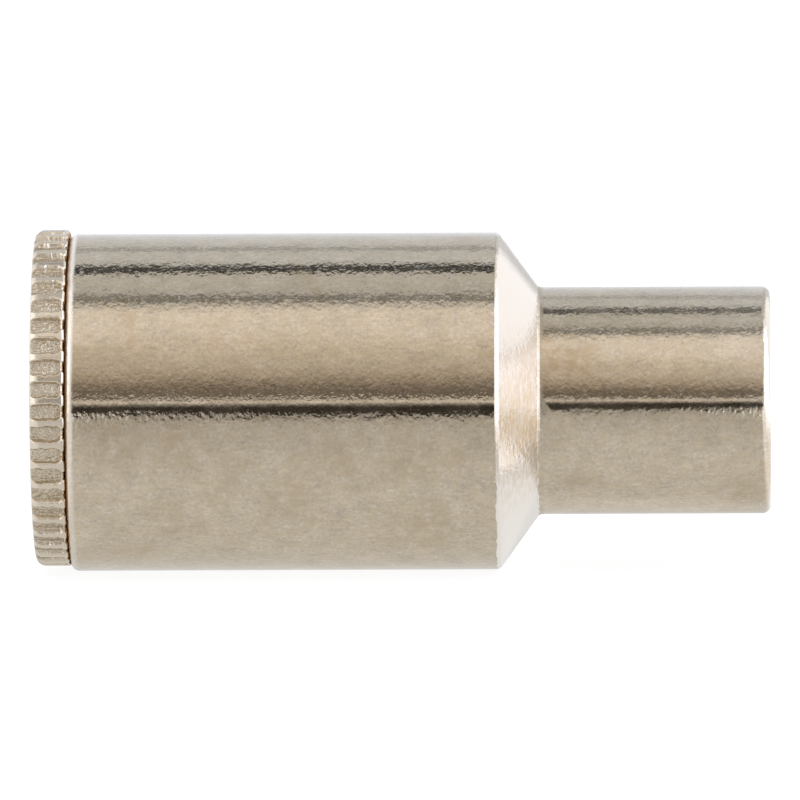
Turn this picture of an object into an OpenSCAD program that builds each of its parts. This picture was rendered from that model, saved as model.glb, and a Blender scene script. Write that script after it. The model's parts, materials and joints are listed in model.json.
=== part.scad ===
// Right-angle coaxial plug with a 9.5 mm sleeve, a screw cap on the back and a clamped cable entry at the side.
// The plug's axis is X, with the sleeve towards +X and the origin at the sleeve's root. The cable entry
// points towards +Y, and the part lies as it comes to rest, on its body and on the clamp nut's lower edge.

/* [Body] */
// Outside diameter of the body
body_d = 14.1; // [13.8:0.1:16]
// Length of the body's cylinder, from the rear face to the cone
body_len = 17.91; // [17:0.01:22]
// Wall round the wiring room
room_wall = 1.4; // [1:0.05:1.6]
// Wall round the cap's thread
thread_wall = 0.9; // [0.7:0.05:1]
// Length of the cone between the body and the sleeve
cone_len = 1.75; // [1.2:0.05:3]
// Rounding of the body's rear edge
rear_edge = 0.34; // [0.1:0.02:0.5]
// Broken edge between the body and the cone, along each side
front_edge = 0.1; // [0.03:0.01:0.3]
// Bevel left in the corner between the cone and the sleeve, along each side
root_edge = 0.07; // [0.03:0.01:0.2]

/* [Plug end] */
// Outside diameter of the plug sleeve
sleeve_d = 9.5; // [9:0.1:10]
// Length of the plug sleeve
sleeve_len = 9.6; // [8:0.1:12]
// Wall of the plug sleeve
sleeve_wall = 0.6; // [0.4:0.05:0.9]
// Rounding of the sleeve's outer lip
lip_edge = 0.37; // [0.1:0.01:0.39]
// Chamfer on the sleeve's inner lip
lip_chamfer = 0.15; // [0.05:0.01:0.2]
// Diameter of the centre pin
pin_d = 2.4; // [2:0.05:2.8]
// How far the pin's tip lies behind the sleeve's lip
pin_setback = 0.4; // [0:0.1:2]
// Rounding of the pin's tip
pin_tip = 0.85; // [0.3:0.05:0.95]

/* [Insulator and contact] */
// Length of the insulator's flange in the wiring room
flange_len = 3.2; // [2:0.1:4]
// Length of the insulator's nose in front of the sleeve's root
nose_len = 1; // [0.5:0.1:3]
// Diameter of the pin's stem in the insulator
stem_d = 3.2; // [2.9:0.1:3.8]
// Diameter of the wire contact behind the insulator
contact_d = 4.4; // [4:0.1:5]
// Length of the wire contact behind the cable's axis
contact_tail = 2.2; // [1.8:0.1:3]
// Hole for the cable's inner conductor
wire_hole_d = 1.6; // [1:0.1:1.8]
// Diameter of the contact screw
screw_d = 2; // [1.6:0.1:2.5]
// Length of the contact screw
screw_len = 2.4; // [2:0.1:3.5]
// Width of the screw's slot
slot_w = 0.35; // [0.2:0.05:0.6]
// Depth of the screw's slot
slot_depth = 0.55; // [0.3:0.05:0.9]

/* [Screw cap] */
// How far the cap's rim lies inside the body's outline
cap_inset = 0.025; // [0:0.005:0.5]
// Thickness of the cap's head
cap_t = 1.43; // [1:0.01:3]
// Rounding of the cap's outer edge
cap_edge = 0.4; // [0.25:0.01:0.45]
// Rounding of the rib ends at the seam
rib_end = 0.12; // [0.05:0.01:0.14]
// Seam left between the cap and the body
cap_seam = 0.03; // [0.02:0.01:0.4]
// How far the cap sits above the body's axis, in the play of its thread
cap_lift = 0.19; // [0:0.01:0.4]
// Length of the cap's threaded skirt
skirt_len = 3.3; // [2.5:0.1:3.8]
// Wall of the threaded skirt
skirt_wall = 0.9; // [0.6:0.05:1.5]
// Chamfer at the end of the threaded skirt
skirt_chamfer = 0.2; // [0.05:0.05:0.4]
// Thickness of the insulating disc in the cap
liner_t = 0.8; // [0.4:0.1:1.5]

/* [Knurl] */
// Number of ribs round the cap
rib_count = 47; // [36:1:56]
// Width of a rib across its top
rib_w = 0.26; // [0.15:0.01:0.4]
// Depth of the pockets between the ribs
pocket_depth = 0.15; // [0.05:0.01:0.25]
// Turn of the knurl when the cap is tight, in degrees
knurl_turn = 8.4; // [0:0.1:20]

/* [Cable entry] */
// Hole for the cable through the nut, washer, gasket and braid clamp
cable_hole_d = 7; // [5:0.1:7.4]
// Hole for the cable's inner insulation
core_hole_d = 5.2; // [3:0.1:5.6]
// Wall of the clamp nut's threaded part
nut_wall = 1; // [0.6:0.05:1.2]
// Wall of the cable socket
socket_wall = 1.05; // [0.8:0.05:1.2]
// Diameter of the socket's spigot in the body
spigot_d = 8.6; // [7:0.1:9.4]
// Thickness of the socket's floor outside the body
socket_floor = 0.8; // [0.4:0.1:2]
// Chamfer on the socket's end
socket_chamfer = 0.25; // [0.1:0.05:0.4]
// Length of the braid clamp
clamp_len = 2.6; // [2:0.1:4]
// Length of the cylindrical rim at the braid clamp's outer end
clamp_rim = 0.9; // [0.5:0.1:1.5]
// Wall of the braid clamp's nose
clamp_nose = 0.45; // [0.3:0.05:0.7]
// Length of the rubber gasket
gasket_len = 2; // [1:0.1:4]
// Thickness of the slip washer
washer_t = 0.6; // [0.3:0.1:1.2]
// Broken edge of the gasket, the washer and the nut's end face
ring_edge = 0.1; // [0.05:0.01:0.14]
// Length of the nut's threaded part
nut_thread_len = 3.6; // [3.4:0.1:6]
// Gap between the nut's head and the socket's end
nut_gap = 0.35; // [0.1:0.05:0.6]
// Length of the nut's hexagon head
nut_head_len = 3; // [2:0.1:5]
// Nut size across flats
nut_flats = 11; // [10:0.1:12]
// Chamfer at the nut's corners and cable hole
nut_chamfer = 0.35; // [0.1:0.05:0.6]

/* [Fits] */
// Radial gap of a piece that is pressed in, and gap between stacked faces
seat_gap = 0.02; // [0.01:0.01:0.05]
// Radial gap of a piece that turns or slides
run_gap = 0.06; // [0.03:0.01:0.1]
// Radial room for the thread's ridges on the clamp nut
thread_room = 0.25; // [0.1:0.05:0.4]
// Relief at the end of each thread bore
thread_relief = 0.3; // [0.1:0.1:0.6]

/* [Hidden] */
$fn = 96;
nickel = "#c8bda9";
bright_steel = "#b9bcc0";
natural_plastic = "#eeece2";
fibre = "#8d5a3c";
rubber = "#2b2b2b";
cut_over = 0.5;

// Radii about the plug's axis
body_r = body_d / 2;
room_r = body_r - room_wall;
thread_bore_r = body_r - thread_wall;
sleeve_r = sleeve_d / 2;
bore_r = sleeve_r - sleeve_wall;
pin_r = pin_d / 2;
stem_r = stem_d / 2;
contact_r = contact_d / 2;
cap_r = body_r - cap_inset;
skirt_r = thread_bore_r - run_gap - cap_lift;
skirt_bore_r = skirt_r - skirt_wall;

// Places along the plug's axis
room_front_x = -cone_len;
cone_turn = atan2(body_r - sleeve_r, cone_len - root_edge);
rear_x = room_front_x - body_len;
entry_x = room_front_x - body_len / 2;
flange_rear_x = room_front_x - flange_len;
contact_rear_x = entry_x - contact_tail;
pin_tip_x = sleeve_len - pin_setback;
cap_face_x = rear_x - cap_seam;
thread_bore_len = skirt_len - cap_seam + thread_relief;
screw_tip_x = entry_x - wire_hole_d / 2 - seat_gap;

// Radii about the cable's axis
cable_hole_r = cable_hole_d / 2;
nut_thread_r = cable_hole_r + nut_wall;
socket_bore_r = nut_thread_r + thread_room;
socket_r = socket_bore_r + socket_wall;
spigot_r = spigot_d / 2;
gland_r = socket_bore_r - run_gap;
corner_r = nut_flats / 2 / cos(30);

// Places along the cable's axis, from the plug's axis outwards
floor_y = body_r + socket_floor;
clamp_y = floor_y + seat_gap;
gasket_y = clamp_y + clamp_len + seat_gap;
washer_y = gasket_y + gasket_len + run_gap;
nut_y = washer_y + washer_t + run_gap;
head_y = nut_y + nut_thread_len;
nut_end_y = head_y + nut_head_len;
socket_end_y = head_y - nut_gap;

// Tilt at which the body and the lower edge of the nut's end both touch the ground
rest_tilt = asin(body_r / norm([nut_end_y, nut_flats / 2])) - atan2(nut_flats / 2, nut_end_y);

// Angle from one rib to the next, and the pocket's width between two ribs
rib_step = 360 / rib_count;
pocket_w = 2 * cap_r * sin(rib_step / 2) - rib_w;

// Places a shape drawn along +Z on the plug's axis
module along_plug() {
    rotate([0, 90, 0]) children();
}

// Places a shape drawn along +Z on the cable's axis
module along_entry() {
    translate([entry_x, 0, 0]) rotate([-90, 0, 0]) children();
}

// Lays the entry down from level to where the nut meets the ground
module at_rest() {
    rotate([-rest_tilt, 0, 0]) children();
}

// Outline left outside a rounded corner whose edges run back from the origin
module corner_cut(edge) {
    translate([-edge, -edge]) difference() {
        square(edge + cut_over);
        circle(r = edge);
    }
}

// Outline of a ring section with both outer corners chamfered
module ring_section(r_in, r_out, length, chamfer) {
    polygon([
        [r_in, 0],
        [r_out - chamfer, 0],
        [r_out, chamfer],
        [r_out, length - chamfer],
        [r_out - chamfer, length],
        [r_in, length]
    ]);
}

// Half section of the turned body, with radius across and the plug's axis upwards
module body_section() {
    difference() {
        polygon([
            [0, rear_x],
            [body_r, rear_x],
            [body_r, room_front_x - front_edge],
            [body_r - front_edge * sin(cone_turn), room_front_x + front_edge * cos(cone_turn)],
            [sleeve_r + root_edge * sin(cone_turn), -root_edge * (1 + cos(cone_turn))],
            [sleeve_r, 0],
            [sleeve_r, sleeve_len],
            [0, sleeve_len]
        ]);
        polygon([
            [0, rear_x - cut_over],
            [thread_bore_r, rear_x - cut_over],
            [thread_bore_r, rear_x + thread_bore_len],
            [room_r, rear_x + thread_bore_len],
            [room_r, room_front_x],
            [bore_r, room_front_x],
            [bore_r, sleeve_len - lip_chamfer],
            [bore_r + lip_chamfer + cut_over, sleeve_len + cut_over],
            [0, sleeve_len + cut_over]
        ]);
        translate([sleeve_r, sleeve_len]) corner_cut(lip_edge);
        translate([body_r, rear_x]) mirror([0, 1]) corner_cut(rear_edge);
    }
}

module body() {
    color(nickel) at_rest() difference() {
        along_plug() rotate_extrude() body_section();
        along_entry() cylinder(r = spigot_r + seat_gap, h = body_r + cut_over);
    }
}

// Straight-sided pocket of the knurl, along the cap's axis at the rim
module knurl_pocket() {
    floor_w = pocket_w - 2 * pocket_depth;
    rim_w = pocket_w + 2 * cut_over;
    translate([0, 0, -cut_over]) linear_extrude(height = cap_t + 2 * cut_over) polygon([
        [cap_r - pocket_depth, -floor_w / 2],
        [cap_r + cut_over, -rim_w / 2],
        [cap_r + cut_over, rim_w / 2],
        [cap_r - pocket_depth, floor_w / 2]
    ]);
}

// Head of the cap, from its outer face at 0 to its inner face
module cap_head() {
    difference() {
        rotate_extrude() difference() {
            square([cap_r, cap_t]);
            translate([cap_r, cap_t]) corner_cut(rib_end);
            translate([cap_r, 0]) mirror([0, 1]) corner_cut(cap_edge);
        }
        for (i = [0 : rib_count - 1]) rotate([0, 0, knurl_turn + i * rib_step]) knurl_pocket();
    }
}

// Puts the cap's outer face at the rear of the body, up in the play of its thread
module in_cap_thread() {
    translate([cap_face_x - cap_t, 0, cap_lift]) along_plug() children();
}

module screw_cap() {
    color(nickel) in_cap_thread() {
        cap_head();
        translate([0, 0, cap_edge]) rotate_extrude()
            ring_section(skirt_bore_r, skirt_r, cap_t - cap_edge + skirt_len, skirt_chamfer);
    }
}

module cap_liner() {
    color(fibre) in_cap_thread() translate([0, 0, cap_t + seat_gap])
        cylinder(r = skirt_bore_r - run_gap, h = liner_t);
}

module insulator() {
    color(natural_plastic) at_rest() along_plug() rotate_extrude() polygon([
        [stem_r + seat_gap, flange_rear_x],
        [room_r - seat_gap, flange_rear_x],
        [room_r - seat_gap, room_front_x - seat_gap],
        [bore_r - seat_gap, room_front_x - seat_gap],
        [bore_r - seat_gap, nose_len],
        [stem_r + seat_gap, nose_len]
    ]);
}

// Half section of the pin, its stem and the wire contact
module pin_section() {
    difference() {
        polygon([
            [0, contact_rear_x],
            [contact_r, contact_rear_x],
            [contact_r, flange_rear_x - seat_gap],
            [stem_r, flange_rear_x - seat_gap],
            [stem_r, nose_len],
            [pin_r, nose_len],
            [pin_r, pin_tip_x],
            [0, pin_tip_x]
        ]);
        translate([pin_r, pin_tip_x]) corner_cut(pin_tip);
    }
}

module centre_pin() {
    color(nickel) at_rest() difference() {
        along_plug() rotate_extrude() pin_section();
        along_entry() translate([0, 0, -contact_r - cut_over])
            cylinder(d = wire_hole_d, h = contact_d + 2 * cut_over);
        along_plug() translate([0, 0, contact_rear_x - cut_over])
            cylinder(r = screw_d / 2 + seat_gap, h = contact_tail + cut_over);
    }
}

module contact_screw() {
    color(bright_steel) at_rest() along_plug() translate([0, 0, screw_tip_x - screw_len]) difference() {
        cylinder(d = screw_d, h = screw_len);
        translate([-screw_d, -slot_w / 2, -cut_over]) cube([2 * screw_d, slot_w, slot_depth + cut_over]);
    }
}

module cable_socket() {
    color(nickel) at_rest() difference() {
        union() {
            along_entry() cylinder(r = spigot_r, h = floor_y);
            difference() {
                along_entry() rotate_extrude() ring_section(0, socket_r, socket_end_y, socket_chamfer);
                translate([rear_x, 0, 0]) along_plug() cylinder(r = body_r + seat_gap, h = body_len);
            }
        }
        translate([rear_x, 0, 0]) along_plug() cylinder(r = room_r, h = body_len);
        along_entry() cylinder(d = core_hole_d, h = floor_y + cut_over);
        along_entry() translate([0, 0, floor_y]) cylinder(r = socket_bore_r, h = socket_end_y);
    }
}

module braid_clamp() {
    color(nickel) at_rest() along_entry() translate([0, 0, clamp_y]) rotate_extrude() polygon([
        [cable_hole_r, 0],
        [cable_hole_r + clamp_nose, 0],
        [gland_r, clamp_len - clamp_rim],
        [gland_r, clamp_len],
        [cable_hole_r, clamp_len]
    ]);
}

module cable_gasket() {
    color(rubber) at_rest() along_entry() translate([0, 0, gasket_y])
        rotate_extrude() ring_section(cable_hole_r, gland_r, gasket_len, ring_edge);
}

module slip_washer() {
    color(bright_steel) at_rest() along_entry() translate([0, 0, washer_y])
        rotate_extrude() ring_section(cable_hole_r, gland_r, washer_t, ring_edge);
}

// Hexagon head with its outer corners turned off
module nut_head() {
    intersection() {
        cylinder(r = corner_r, h = nut_head_len, $fn = 6);
        rotate_extrude() polygon([
            [0, 0],
            [corner_r, 0],
            [corner_r, nut_head_len - nut_chamfer],
            [nut_flats / 2 - ring_edge, nut_head_len],
            [0, nut_head_len]
        ]);
    }
}

module clamp_nut() {
    color(nickel) at_rest() along_entry() translate([0, 0, nut_y]) difference() {
        union() {
            rotate_extrude() ring_section(0, nut_thread_r, nut_thread_len + nut_chamfer, nut_chamfer);
            translate([0, 0, nut_thread_len]) nut_head();
        }
        translate([0, 0, -cut_over]) cylinder(r = cable_hole_r, h = nut_end_y);
        translate([0, 0, nut_end_y - nut_y - nut_chamfer])
            cylinder(r1 = cable_hole_r, r2 = cable_hole_r + 2 * nut_chamfer, h = 2 * nut_chamfer);
    }
}

body();
screw_cap();
cap_liner();
insulator();
centre_pin();
contact_screw();
cable_socket();
braid_clamp();
cable_gasket();
slip_washer();
clamp_nut();
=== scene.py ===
import json
import math
import bpy
import numpy as np
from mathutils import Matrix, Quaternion, Vector


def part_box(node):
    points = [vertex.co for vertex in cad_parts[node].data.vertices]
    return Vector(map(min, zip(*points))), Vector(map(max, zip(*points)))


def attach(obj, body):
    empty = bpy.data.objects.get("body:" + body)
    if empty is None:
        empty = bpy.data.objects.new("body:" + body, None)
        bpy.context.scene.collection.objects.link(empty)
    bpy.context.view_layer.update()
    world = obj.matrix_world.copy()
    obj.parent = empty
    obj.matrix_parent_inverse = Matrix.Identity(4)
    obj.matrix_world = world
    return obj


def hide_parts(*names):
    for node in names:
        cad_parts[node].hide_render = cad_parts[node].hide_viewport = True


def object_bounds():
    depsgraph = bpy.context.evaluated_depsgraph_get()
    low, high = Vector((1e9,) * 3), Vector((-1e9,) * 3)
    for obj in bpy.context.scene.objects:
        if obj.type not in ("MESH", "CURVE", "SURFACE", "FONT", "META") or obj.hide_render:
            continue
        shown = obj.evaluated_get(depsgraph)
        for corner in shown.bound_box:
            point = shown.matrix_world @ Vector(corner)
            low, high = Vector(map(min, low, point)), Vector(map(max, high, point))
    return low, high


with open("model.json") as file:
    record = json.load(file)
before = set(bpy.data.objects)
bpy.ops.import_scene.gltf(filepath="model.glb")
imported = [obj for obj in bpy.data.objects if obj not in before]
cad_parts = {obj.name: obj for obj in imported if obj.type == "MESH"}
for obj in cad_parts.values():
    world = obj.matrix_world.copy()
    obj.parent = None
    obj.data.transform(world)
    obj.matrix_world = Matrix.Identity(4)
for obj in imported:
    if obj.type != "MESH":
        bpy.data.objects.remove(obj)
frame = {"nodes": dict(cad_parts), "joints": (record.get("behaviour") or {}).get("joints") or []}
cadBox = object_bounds()
nodes = frame["nodes"]
mm = 0.001
print("frame loaded:", len(nodes), "nodes")


# Rings of points joined by quads; an end is closed by a fan to one point, or the last ring meets the first
def skinRings(name, rings, startTip=None, endTip=None, loop=False):
    rows, around = rings.shape[:2]
    index = np.arange(rows * around).reshape(rows, around)
    side = np.roll(index, -1, axis=1)
    quads = np.stack([index, side, np.roll(side, -1, axis=0), np.roll(index, -1, axis=0)], axis=-1)
    quads = (quads if loop else quads[:-1]).reshape(-1, 4)
    points = rings.reshape(-1, 3)
    fans = np.zeros((0, 3), dtype=int)
    if startTip is not None:
        points = np.vstack([points, startTip])
        tip = np.full(around, len(points) - 1)
        fans = np.vstack([fans, np.stack([tip, side[0], index[0]], axis=-1)])
    if endTip is not None:
        points = np.vstack([points, endTip])
        tip = np.full(around, len(points) - 1)
        fans = np.vstack([fans, np.stack([tip, index[-1], side[-1]], axis=-1)])
    halves = np.vstack([quads[:, [0, 1, 2]], quads[:, [0, 2, 3]], fans])
    a, b, c = (points[halves[:, k]] for k in range(3))
    if np.einsum("ij,ij->", a, np.cross(b, c)) < 0:  # the enclosed volume tells which way the faces look
        quads, fans = quads[:, ::-1], fans[:, ::-1]
    mesh = bpy.data.meshes.new(name)
    mesh.from_pydata((points * mm).tolist(), [], quads.tolist() + fans.tolist())
    mesh.polygons.foreach_set("use_smooth", np.ones(len(mesh.polygons), dtype=bool))
    mesh.update()
    piece = bpy.data.objects.new(name, mesh)
    bpy.context.scene.collection.objects.link(piece)
    return piece


# Keeps a share per point on a piece, for its material to read; tip points stay at 0
def markPoints(piece, name, values):
    filled = np.zeros(len(piece.data.vertices), dtype=np.float32)
    filled[:values.size] = values.ravel()
    piece.data.attributes.new(name, "FLOAT", "POINT").data.foreach_set("value", filled)


# Smooth random field on a grid that closes on itself: white noise below a number of waves each way, spread 1
def waveField(rows, cols, rowWaves, colWaves, seed):
    spectrum = np.fft.rfft2(np.random.default_rng(seed).standard_normal((rows, cols)))
    rowPart = np.fft.fftfreq(rows) * rows / rowWaves
    colPart = np.fft.rfftfreq(cols) * cols / colWaves
    low = np.exp(-(rowPart[:, None] ** 2 + colPart[None, :] ** 2))
    field = np.fft.irfft2(spectrum * low, s=(rows, cols))
    return field / field.std()


# Lesser of two lengths, with the corner between them eased over the blend length
def softMin(a, b, blend):
    share = np.clip(0.5 + 0.5 * (b - a) / blend, 0, 1)
    return b + (a - b) * share - blend * share * (1 - share)


# Smooth step from 0 at one value to 1 at another: 3 t squared less 2 t cubed
def easeStep(value, low, high):
    t = np.clip((value - low) / (high - low), 0, 1)
    return t * t * (3 - 2 * t)


# Outline whose inner corners become short curves: start, corner and end weighted (1-t)^2, 2t(1-t) and t^2
def easedOutline(corners, radius, steps):
    p = np.array(corners, dtype=float)
    back, ahead = p[:-2] - p[1:-1], p[2:] - p[1:-1]
    backLen = np.linalg.norm(back, axis=1, keepdims=True)
    aheadLen = np.linalg.norm(ahead, axis=1, keepdims=True)
    start = (p[1:-1] + back / backLen * np.minimum(radius, backLen * 0.45))[:, None]
    end = (p[1:-1] + ahead / aheadLen * np.minimum(radius, aheadLen * 0.45))[:, None]
    t = np.linspace(0, 1, steps)[None, :, None]
    curve = (1 - t) ** 2 * start + 2 * t * (1 - t) * p[1:-1][:, None] + t * t * end
    return np.vstack([p[:1], curve.reshape(-1, 2), p[-1:]])


# Height of a right-hand thread, 1 on the crest and 0 in the root: distance to the helix in pitches, flattened
# at crest and root
def threadForm(along, angle, pitch):
    phase = along / pitch - angle / (2 * np.pi)
    return easeStep(np.abs(phase - np.round(phase)) * 2, 0.85, 0.15)


# Screw cap, its knurled head; lengths in millimetres
capLow, capHigh = (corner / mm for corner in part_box("screw_cap"))
capHeadSet = {
    "ribs": 47, "turn": 8.4, "radius": 7.0245, "lift": 0.19,
    "outerX": capLow.x, "innerX": capLow.x + 1.43, "edge": 0.4, "ribEnd": 0.12,
    "faceRadii": (1.5, 3.0, 4.5, 5.6, 6.2, 6.5), "edgeRows": 10, "rimRows": 28, "perRib": 32,
    "ribWidth": 0.24, "wallRun": 0.08, "depth": 0.24, "blend": 0.035,
    "narrow": 0.08, "outerNarrow": 0.03, "narrowRun": 0.22,  # at the seam, at the outer edge, the run
    "lipRun": 0.18, "lipTop": 0.10, "lipDrop": 0.035,
    "waver": 0.020, "waverWaves": (7, 170), "rough": 0.014, "roughWaves": (20, 380),
    "uneven": 0.16, "unevenWaves": 24,
    "burr": 0.020, "burrWaves": 60, "burrUsual": 0.75, "burrSpread": 0.35, "burrMost": 1.3, "setBack": 0.038,
    "seamFrom": 0.2, "seamTo": 0.05, "seamInside": 0.35, "seamOutside": 0.08,
    "rimBelow": 0.06, "rimAbove": 0.04,
}


# Head of the cap: a turned outline whose radius is held under the pockets' floors and walls; a thin lip
# closes the pockets at the seam
def makeCapHead(s):
    around = s["ribs"] * s["perRib"]
    step = 2 * np.pi / s["ribs"]
    fromPocket = np.arange(around) * 2 * np.pi / around
    angle = fromPocket + math.radians(270 - s["turn"])
    quarter = np.linspace(0, np.pi / 2, s["edgeRows"])
    edge, ribEnd, radius = s["edge"], s["ribEnd"], s["radius"]
    outerX, innerX = s["outerX"], s["innerX"]
    faceR = np.array(s["faceRadii"])
    rimX = np.linspace(outerX + edge, innerX - ribEnd, s["rimRows"])[1:-1]
    rowX = np.concatenate([
        np.full(len(faceR), outerX), outerX + edge * (1 - np.cos(quarter)), rimX,
        innerX - ribEnd * (1 - np.cos(quarter[::-1])), np.full(len(faceR), innerX),
    ])
    rowR = np.concatenate([
        faceR, radius - edge * (1 - np.sin(quarter)), np.full(len(rimX), radius),
        radius - ribEnd * (1 - np.sin(quarter[::-1])), faceR[::-1],
    ])
    rows = len(rowX)
    number = np.round(fromPocket / step)
    drift = waveField(rows, around, *s["waverWaves"], seed=3) * s["waver"]  # the pockets' walls waver
    across = np.abs(radius * np.sin(fromPocket - number * step)[None, :] + drift)
    halfPitch = radius * math.sin(step / 2)
    toSeam = innerX - s["lipTop"] - rowX
    pinch = s["narrow"] * (1 - easeStep(toSeam, 0, s["narrowRun"]))  # pockets narrow to rounded ends
    pinch = pinch + s["outerNarrow"] * (1 - easeStep(rowX - outerX, 0, s["narrowRun"]))
    onLip = easeStep(rowX, innerX - s["lipRun"], innerX - s["lipTop"])[:, None]
    floorHalf = (halfPitch - s["ribWidth"] / 2 - s["wallRun"] - pinch)[:, None]
    inPocket = 1 - easeStep(across, floorHalf, floorHalf + s["wallRun"])
    depths = 1 + s["uneven"] * waveField(1, s["ribs"], 1, s["unevenWaves"], seed=8)[0]  # one for each pocket
    deeper = depths[number.astype(int) % s["ribs"]]
    seamDrop = np.where(rowX > innerX - ribEnd, radius - rowR, 0)[:, None]  # the lip rounds off like the ribs
    wall = radius - s["depth"] * deeper[None, :] * (1 - onLip) - s["lipDrop"] * onLip - seamDrop
    wall = wall + np.maximum(0, across - floorHalf) * s["depth"] / s["wallRun"]
    wall = wall + waveField(rows, around, *s["roughWaves"], seed=5) * s["rough"] * inPocket
    ring = softMin(rowR[:, None], wall, s["blend"])
    nearSeam = easeStep(rowX, innerX - s["seamFrom"], innerX - s["seamTo"])
    nearSeam = nearSeam * easeStep(rowR, radius - s["seamInside"], radius - s["seamOutside"])
    bulge = s["burrUsual"] + s["burrSpread"] * waveField(1, around, 1, s["burrWaves"], seed=12)
    push = s["burr"] * (1 - inPocket) * np.clip(bulge, 0, s["burrMost"])  # rib ends pushed out unevenly
    push = push - s["setBack"] * inPocket
    x = rowX[:, None] + push * nearSeam[:, None]
    rings = np.stack([x, -ring * np.cos(angle), ring * np.sin(angle) + s["lift"]], axis=-1)
    tips = [np.array([[tipX, 0, s["lift"]]]) for tipX in (outerX, innerX)]
    piece = skinRings("cap_head", rings, tips[0], tips[1])
    floorR = radius - s["depth"]
    onRim = easeStep(rowR, floorR - s["rimBelow"], floorR + s["rimAbove"])[:, None]
    markPoints(piece, "pocket", inPocket * (1 - onLip) * onRim)
    return piece


# Screw cap, its threaded skirt
capSkirtSet = {
    "radius": 5.9, "bore": 5.0, "startX": capHeadSet["innerX"] - 0.08, "endX": capHigh.x,
    "lift": capHeadSet["lift"], "pitch": 0.75, "depth": 0.34, "plain": 0.3, "runIn": 0.5,
    "chamfer": 0.2, "ease": 0.05, "endDrop": 0.03, "boreStep": 1.0, "around": 160, "rows": 64,
}


# Skirt: a tube whose outside is the crest radius less the thread's depth where the thread form is low
def makeCapSkirt(s):
    angle = np.arange(s["around"]) * 2 * np.pi / s["around"]
    startX, stopX, ease = s["startX"], s["endX"], s["ease"]
    alongX = np.linspace(startX, stopX - s["chamfer"], s["rows"])
    form = threadForm(alongX[:, None], angle[None, :], s["pitch"])
    cut = easeStep(alongX, startX + s["plain"], startX + s["plain"] + s["runIn"])[:, None]
    outer = s["radius"] - s["depth"] * (1 - form) * cut
    rootR = s["radius"] - s["depth"]
    endR = np.array([s["radius"] - s["chamfer"] - 2 * ease, rootR - ease, s["bore"] + ease, s["bore"]])
    endX = np.array([stopX - s["endDrop"], stopX, stopX, stopX - ease])
    rowX = np.concatenate([alongX, endX, [stopX - s["boreStep"], startX]])
    plain = np.concatenate([endR, np.full(2, s["bore"])])[:, None] + 0 * angle[None, :]
    ring = np.vstack([outer, np.minimum(plain, outer[-1:])])
    x = rowX[:, None] + 0 * ring
    rings = np.stack([x, ring * np.cos(angle), ring * np.sin(angle) + s["lift"]], axis=-1)
    return skinRings("cap_skirt", rings, loop=True)


capHead = makeCapHead(capHeadSet)
capSkirt = makeCapSkirt(capSkirtSet)
for piece in (capHead, capSkirt):
    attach(piece, "cap")
    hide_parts("screw_cap")
print("cap made:", len(capHead.data.polygons), "+", len(capSkirt.data.polygons), "faces")

# Clamp nut; start, shoulder and end are distances from the plug's axis along the entry
nutLow, nutHigh = (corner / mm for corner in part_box("clamp_nut"))
entryAxis = next(joint["axis"] for joint in frame["joints"] if joint["name"] == "nut_travel")
nutSet = {
    "entryX": (nutLow.x + nutHigh.x) / 2, "outward": entryAxis,
    "start": 13.21, "shoulder": 16.81, "end": 19.81,
    "hole": 3.5, "thread": 4.5, "crest": 4.68, "root": 4.36, "pitch": 0.75, "runIn": 0.25, "runOut": 0.6,
    "flats": 11.0, "chamfer": 0.35, "backBevel": 0.12, "backRise": 0.14, "faceInset": 0.1, "clear": 0.02,
    "noseRun": 1, "backRun": 0.6, "frontRun": 0.5, "holeRun": 2,  # where the straight parts are joined
    "sharp": 90, "ease": 0.09, "blend": 0.05, "around": 180, "threadRows": 60,
}


# Nut: an eased outline turned about the entry, held under the hexagon's radius, which is a high-power mean of
# the distances to its flats
def makeNut(s):
    angle = np.arange(s["around"]) * 2 * np.pi / s["around"]
    flatAt = np.radians(np.arange(30, 390, 60))
    facing = np.clip(np.cos(angle[:, None] - flatAt[None, :]), 0, 1) ** s["sharp"]
    hexR = s["flats"] / 2 * facing.sum(axis=1) ** (-1 / s["sharp"])
    cornerR = s["flats"] / 2 / math.cos(math.radians(30)) + s["clear"]
    start, shoulder, end = s["start"], s["shoulder"], s["end"]
    hole, thread, c, clear = s["hole"], s["thread"], s["chamfer"], s["clear"]
    threadS = np.linspace(start + c, shoulder - clear, s["threadRows"])
    rise = easeStep(threadS, start + c - s["blend"], start + c + s["runIn"])
    rise = (rise * easeStep(threadS, shoulder - s["runIn"], shoulder - s["runOut"]))[:, None]
    form = threadForm(threadS[:, None], -angle[None, :], s["pitch"])
    threadR = thread + (s["root"] + (s["crest"] - s["root"]) * form - thread) * rise
    nose = easedOutline([
        (start + s["noseRun"], hole), (start, hole), (start, thread - c), (start + c - clear, thread - clear),
    ], s["ease"], 5)
    back = easedOutline([
        (shoulder, thread + s["blend"]), (shoulder, cornerR - s["backRise"]),
        (shoulder + s["backBevel"], cornerR), (shoulder + s["backRun"], cornerR),
    ], s["ease"], 6)
    front = easedOutline([
        (end - c - s["frontRun"], cornerR), (end - c, cornerR), (end, s["flats"] / 2 - s["faceInset"]),
        (end, hole + c), (end - c, hole), (start + s["holeRun"], hole),
    ], s["ease"], 6)
    middle = np.linspace(back[-1], front[0], 5)[1:-1]
    head = np.vstack([back, middle, front])
    headR = softMin(head[:, 1:], hexR[None, :], s["blend"])
    ring = np.vstack([nose[:, 1:] + 0 * hexR[None, :], threadR, headR])
    along = np.concatenate([nose[:, 0], threadS, head[:, 0]])[:, None] + 0 * ring
    outward = np.array(s["outward"])
    sideways = np.cross(outward, [1, 0, 0])
    rings = along[..., None] * outward + (ring * np.sin(angle))[..., None] * sideways
    rings[..., 0] = s["entryX"] + ring * np.cos(angle)
    return skinRings("nut_shell", rings, loop=True)


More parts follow.
